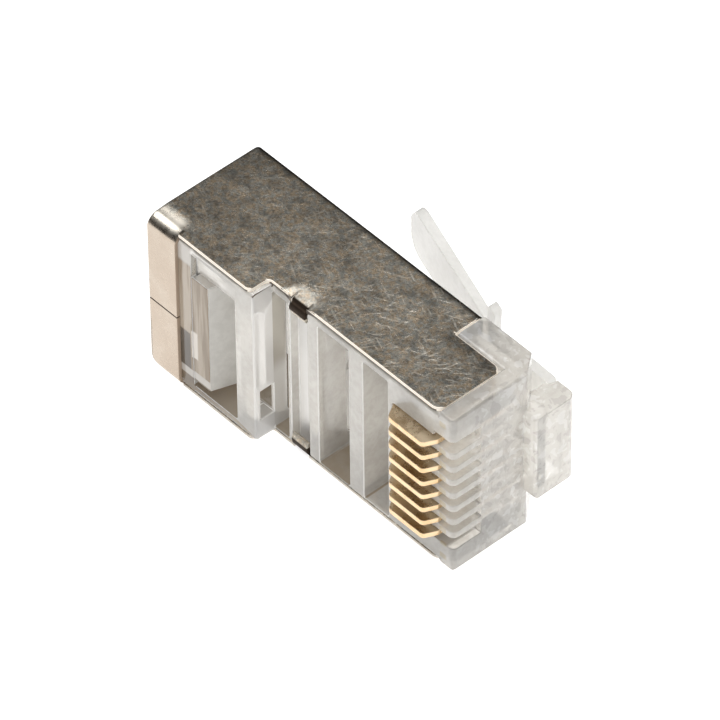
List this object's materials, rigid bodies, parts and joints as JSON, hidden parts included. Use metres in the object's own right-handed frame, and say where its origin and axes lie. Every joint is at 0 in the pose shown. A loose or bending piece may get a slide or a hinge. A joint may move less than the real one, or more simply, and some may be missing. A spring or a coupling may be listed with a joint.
{
  "type": "shielded ethernet plug",
  "caption": "Shielded modular network plug: clear moulded housing with comb-held contact blades, folded metal shield, open cable entry and a springy latch.",
  "frame": {"origin": "on the outer face of the lower side plate that the plug lies on, halfway between the shield's rear edge and the housing's nose and halfway through the front thickness", "axes": "+X points the way the plug goes into its socket, +Y points to the latch side, +Z runs across the row of contacts with contact 1 on top"},
  "size_m": [0.024, 0.0147, 0.0117],
  "materials": {
    "clear_plastic": "water-clear moulded polycarbonate, polished, frosted on the jacket bar",
    "nickel_plate": "nickel-plated rolled sheet, mottled and finely scratched, bright sheared edges",
    "gold_plate": "gold-plated blade edges, duller sides"
  },
  "bodies": {
    "plug": {"housing": "clear_plastic", "shield": "nickel_plate"},
    "latch": {"latch": "clear_plastic"},
    "contact_1": {"contact_1": "gold_plate"},
    "contact_2": {"contact_2": "gold_plate"},
    "contact_3": {"contact_3": "gold_plate"},
    "contact_4": {"contact_4": "gold_plate"},
    "contact_5": {"contact_5": "gold_plate"},
    "contact_6": {"contact_6": "gold_plate"},
    "contact_7": {"contact_7": "gold_plate"},
    "contact_8": {"contact_8": "gold_plate"}
  },
  "joints": [
    {"name": "latch_hinge", "type": "hinge", "parent": "plug", "child": "latch", "pos_m": [0.0106, 0.00458, 0.00588], "axis": [0, 0, 1], "range_deg": [0, 11.5], "stiffness_Nm_per_rad": 0.25},
    {"name": "contact_1_slide", "type": "slide", "parent": "plug", "child": "contact_1", "axis": [0, 1, 0], "range_m": [0, 0.0014]},
    {"name": "contact_2_slide", "type": "slide", "parent": "plug", "child": "contact_2", "axis": [0, 1, 0], "range_m": [0, 0.0014]},
    {"name": "contact_3_slide", "type": "slide", "parent": "plug", "child": "contact_3", "axis": [0, 1, 0], "range_m": [0, 0.0014]},
    {"name": "contact_4_slide", "type": "slide", "parent": "plug", "child": "contact_4", "axis": [0, 1, 0], "range_m": [0, 0.0014]},
    {"name": "contact_5_slide", "type": "slide", "parent": "plug", "child": "contact_5", "axis": [0, 1, 0], "range_m": [0, 0.0014]},
    {"name": "contact_6_slide", "type": "slide", "parent": "plug", "child": "contact_6", "axis": [0, 1, 0], "range_m": [0, 0.0014]},
    {"name": "contact_7_slide", "type": "slide", "parent": "plug", "child": "contact_7", "axis": [0, 1, 0], "range_m": [0, 0.0014]},
    {"name": "contact_8_slide", "type": "slide", "parent": "plug", "child": "contact_8", "axis": [0, 1, 0], "range_m": [0, 0.0014]}
  ]
}
